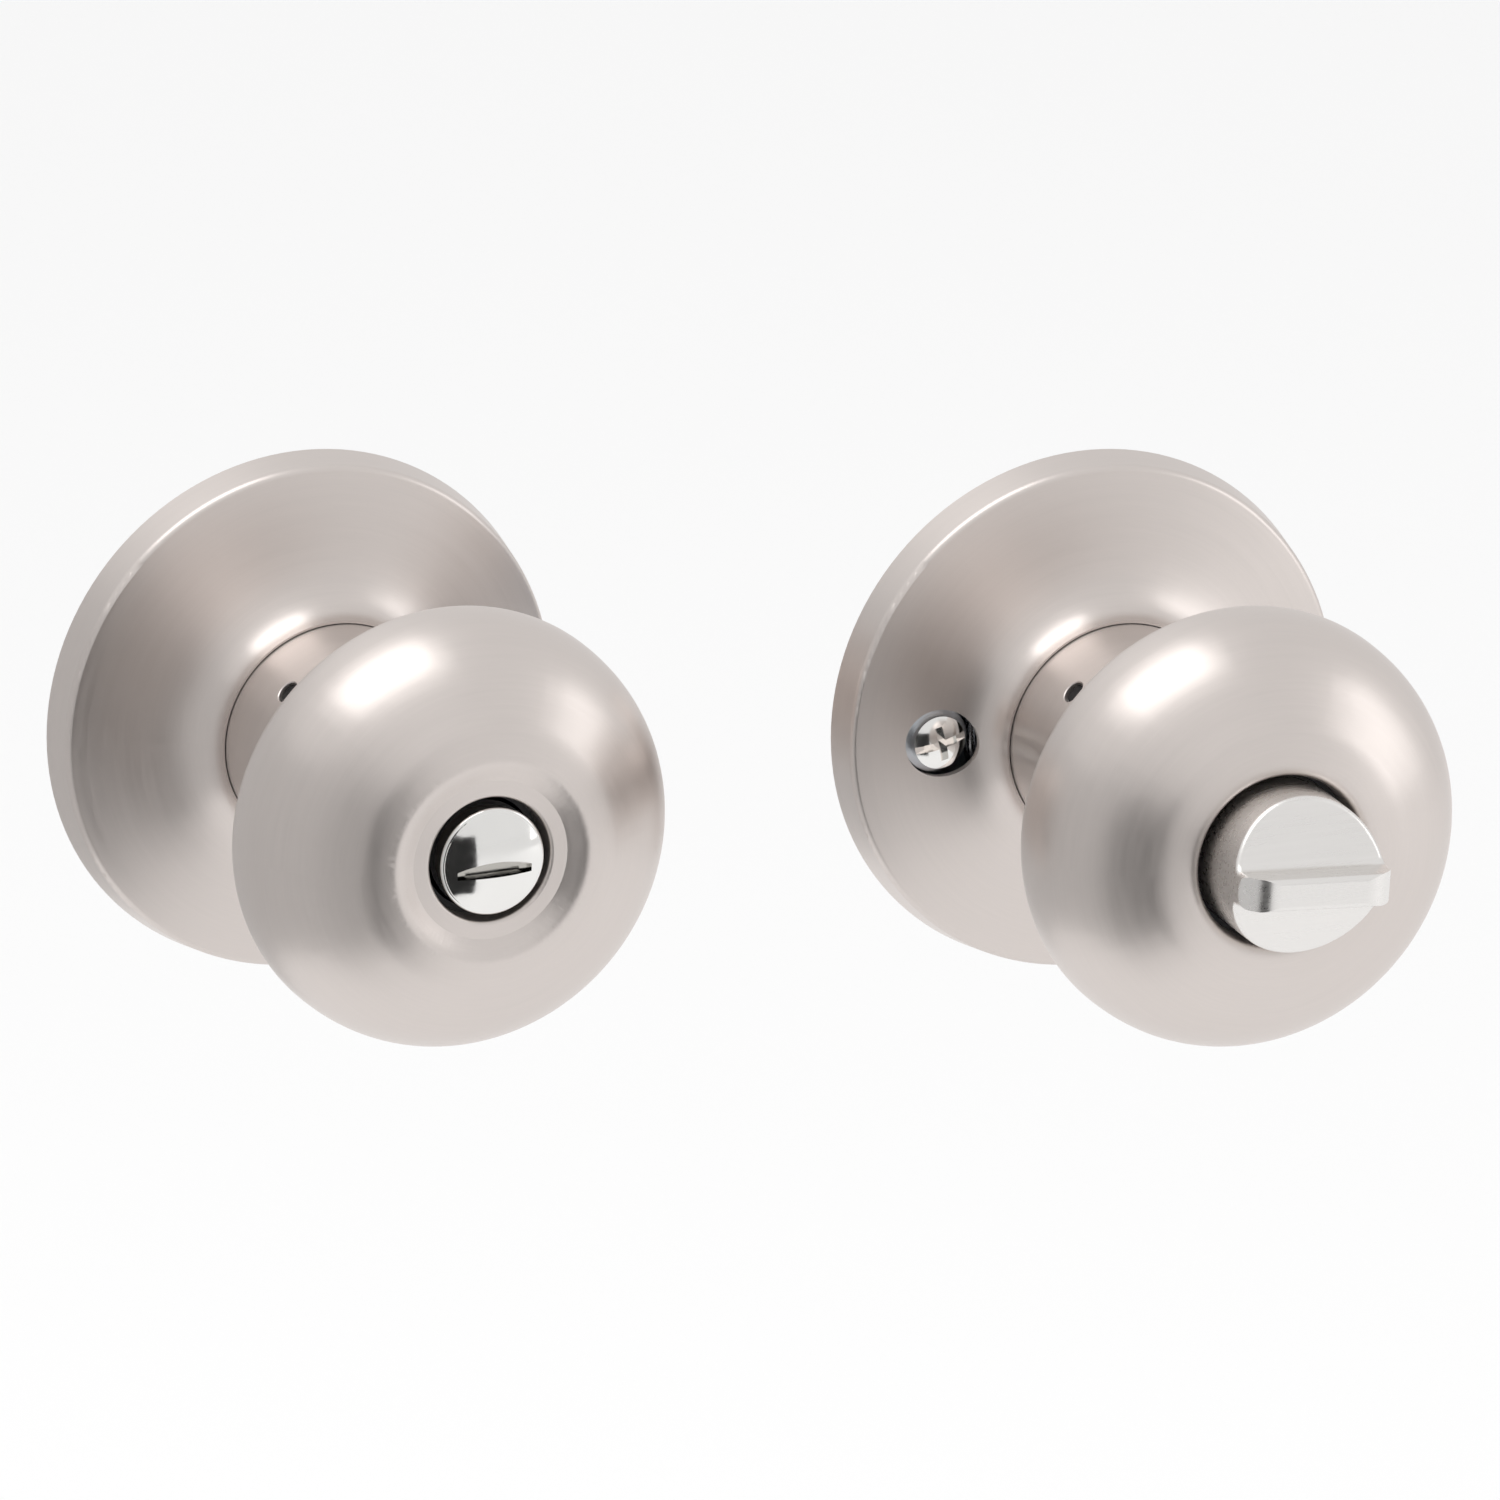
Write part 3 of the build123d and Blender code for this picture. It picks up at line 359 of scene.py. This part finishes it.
def catch_coil(context, side, material):
    """The catch's spring, copied into its own object between its bore in the knob and the pin; the copy keeps
    its CAD shape and does not shorten as the pin is pressed.
    """
    node = frame["nodes"][f"{side}_catch_spring"]
    coil = bpy.data.objects.new(f"{side}_catch_coil", node.data.copy())
    coil.matrix_world = node.matrix_world.copy()
    context.collection.objects.link(coil)
    finish(coil, material)
    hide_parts(node.name)
    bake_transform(coil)


# Operators --------------------------------------------------------------------------------------


class KNOBSET_OT_plated_shells(bpy.types.Operator):
    """Finish the roses, knob shells and shanks in nickel brushed round each knob's axis"""

    bl_idname = "knobset.plated_shells"
    bl_label = "Plated shells"

    def execute(self, context):
        colours = context.scene.knobset_colours
        for side in HALVES:
            plate = turned_nickel(f"satin_nickel_{side}", colours.satin, CENTRE[side])
            for part in ("rose", "knob_front", "knob_back", "knob_shank"):
                finish(frame["nodes"][f"{side}_{part}"], plate)
        return {"FINISHED"}


class KNOBSET_OT_controls(bpy.types.Operator):
    """Finish the release button, the thumb turn and the screws"""

    bl_idname = "knobset.controls"
    bl_label = "Release button, thumb turn and screws"

    def execute(self, context):
        colours = context.scene.knobset_colours
        finish(frame["nodes"]["release_button"], polished_nickel("polished_nickel", colours.polished))
        finish(frame["nodes"]["thumb_turn"], straight_nickel("fine_satin_nickel", colours.turn))
        finish(frame["nodes"]["mounting_screws"], polished_nickel("bright_screw", colours.polished, 0.1))
        return {"FINISHED"}


class KNOBSET_OT_inner_parts(bpy.types.Operator):
    """Finish the plates, spindle, springs, bushes and other inner parts"""

    bl_idname = "knobset.inner_parts"
    bl_label = "Inner parts"

    def execute(self, context):
        colours = context.scene.knobset_colours
        zinc = zinc_plate("zinc_plated_steel", colours.zinc)
        casting = cast_zinc("cast_zinc", colours.casting)
        wire = drawn_wire("spring_steel", (0.45, 0.45, 0.46))
        dark = drawn_wire("dark_steel", (0.03, 0.03, 0.032), 0.4)
        acetal = moulded_plastic("bush_plastic", (0.85, 0.84, 0.80))
        nylon = moulded_plastic("black_plastic", (0.012, 0.012, 0.013))
        by_slot = {"zinc_plated_steel": zinc, "cast_zinc": casting, "spring_steel": wire, "dark_steel": dark,
                   "bush_plastic": acetal, "black_plastic": nylon}
        for part in frame["record"]["subparts"]:
            if part["material_slot"] in by_slot:
                finish(frame["nodes"][part["node"]], by_slot[part["material_slot"]])
        for side in HALVES:
            catch_coil(context, side, wire)
        return {"FINISHED"}


class KNOBSET_OT_stage(bpy.types.Operator):
    """Lay the floor, set the lights and place the camera"""

    bl_idname = "knobset.stage"
    bl_label = "Stage"

    def execute(self, context):
        settings = context.scene.knobset_stage
        back, right, up = camera_directions(settings)
        aim = (CENTRE["outside"] + CENTRE["inside"]) / 2 + settings.aim_right * right + settings.aim_up * up
        lay_floor(context, settings.floor_drop)
        set_camera(context, settings, aim, back)
        set_lights(context, aim)
        return {"FINISHED"}


def camera_directions(settings):
    """The unit vectors from the set back to the camera, to its right and up."""
    a, e = settings.azimuth, settings.elevation
    back = Vector((sin(a) * cos(e), -cos(a) * cos(e), sin(e)))
    right = Vector((cos(a), sin(a), 0))
    return back, right, back.cross(right)


def lay_floor(context, drop):
    mesh = bpy.data.meshes.new("floor")
    grid = bmesh.new()
    bmesh.ops.create_grid(grid, x_segments=8, y_segments=8, size=FLOOR_HALF_SIZE)
    grid.to_mesh(mesh)
    grid.free()
    floor = bpy.data.objects.new("floor", mesh)
    floor.location.z = CAD_BOX[0].z - drop
    context.collection.objects.link(floor)
    finish(floor, floor_paint("floor_paint", context.scene.knobset_colours.floor))


def set_camera(context, settings, aim, back):
    data = bpy.data.cameras.new("camera")
    data.sensor_width = SENSOR_WIDTH
    data.lens = data.sensor_width * settings.distance / settings.framed_width
    data.clip_end = CAMERA_REACH
    camera = bpy.data.objects.new("camera", data)
    camera.location = aim + back * settings.distance
    camera.rotation_euler = back.to_track_quat("Z", "Y").to_euler()
    context.collection.objects.link(camera)
    context.scene.camera = camera


def direction(azimuth, elevation):
    """Unit vector out from the set, at an angle round it from straight in front and above the horizon."""
    a, e = radians(azimuth), radians(elevation)
    return Vector((sin(a) * cos(e), -cos(a) * cos(e), sin(e)))


def softbox(context, name, aim, azimuth, elevation, distance, size, brightness):
    """A rectangular area light aimed at the set, as bright as a white surface times its brightness."""
    away = direction(azimuth, elevation)
    data = bpy.data.lights.new(name, "AREA")
    data.shape = "RECTANGLE"
    data.size, data.size_y = size
    data.energy = brightness * pi * size[0] * size[1]
    light = bpy.data.objects.new(name, data)
    light.location = aim + away * distance
    light.rotation_euler = away.to_track_quat("Z", "Y").to_euler()
    context.collection.objects.link(light)


def grey_card(context, name, aim, azimuths, elevations, radius, tone):
    """A strip bent round the set that only reflections see, for the darker sides of the metal."""
    mesh = bpy.data.meshes.new(name)
    strip = bmesh.new()
    rows = []
    for step in range(CARD_COLUMNS + 1):
        azimuth = azimuths[0] + (azimuths[1] - azimuths[0]) * step / CARD_COLUMNS
        rows.append([strip.verts.new(aim + direction(azimuth, elevation) * radius)
                     for elevation in elevations])
    for left, right in zip(rows, rows[1:]):
        strip.faces.new((left[0], right[0], right[1], left[1]))
    strip.to_mesh(mesh)
    strip.free()
    card = bpy.data.objects.new(name, mesh)
    card.visible_camera = card.visible_diffuse = card.visible_shadow = False
    context.collection.objects.link(card)
    finish(card, moulded_plastic(name, (tone, tone, tone), 0.9))


def set_lights(context, aim):
    for name, (azimuth, elevation, distance, size, brightness) in SOFTBOXES.items():
        softbox(context, name, aim, azimuth, elevation, distance, size, brightness)
    for name, (azimuths, elevations, radius, tone) in CARDS.items():
        grey_card(context, name, aim, azimuths, elevations, radius, tone)
    world = bpy.data.worlds.new("studio")
    world.use_nodes = True
    background = world.node_tree.nodes["Background"]
    background.inputs["Color"].default_value = (1, 1, 1, 1)
    background.inputs["Strength"].default_value = SKY_BRIGHTNESS
    context.scene.world = world
    context.scene.view_settings.view_transform = "Standard"


class KNOBSET_PT_panel(bpy.types.Panel):
    """Lists the operators that finish the door knob set"""

    bl_idname = "KNOBSET_PT_panel"
    bl_label = "Door knob set"
    bl_space_type = "VIEW_3D"
    bl_region_type = "UI"
    bl_category = "Door knob"

    def draw(self, context):
        for operator in OPERATORS:
            self.layout.operator(operator.bl_idname)
        for group in (context.scene.knobset_colours, context.scene.knobset_stage):
            for name in group.bl_rna.properties.keys():
                if name not in ("rna_type", "name"):
                    self.layout.prop(group, name)


GROUPS = (KnobSetColours, KnobSetStage)
OPERATORS = (KNOBSET_OT_plated_shells, KNOBSET_OT_controls, KNOBSET_OT_inner_parts, KNOBSET_OT_stage)


def register():
    for group in (*GROUPS, *OPERATORS, KNOBSET_PT_panel):
        bpy.utils.register_class(group)
    bpy.types.Scene.knobset_colours = PointerProperty(type=KnobSetColours)
    bpy.types.Scene.knobset_stage = PointerProperty(type=KnobSetStage)


def unregister():
    del bpy.types.Scene.knobset_stage
    del bpy.types.Scene.knobset_colours
    for group in reversed((*GROUPS, *OPERATORS, KNOBSET_PT_panel)):
        bpy.utils.unregister_class(group)


def main():
    register()
    bpy.ops.knobset.plated_shells()
    bpy.ops.knobset.controls()
    bpy.ops.knobset.inner_parts()
    bpy.ops.knobset.stage()


if __name__ == "__main__":
    main()
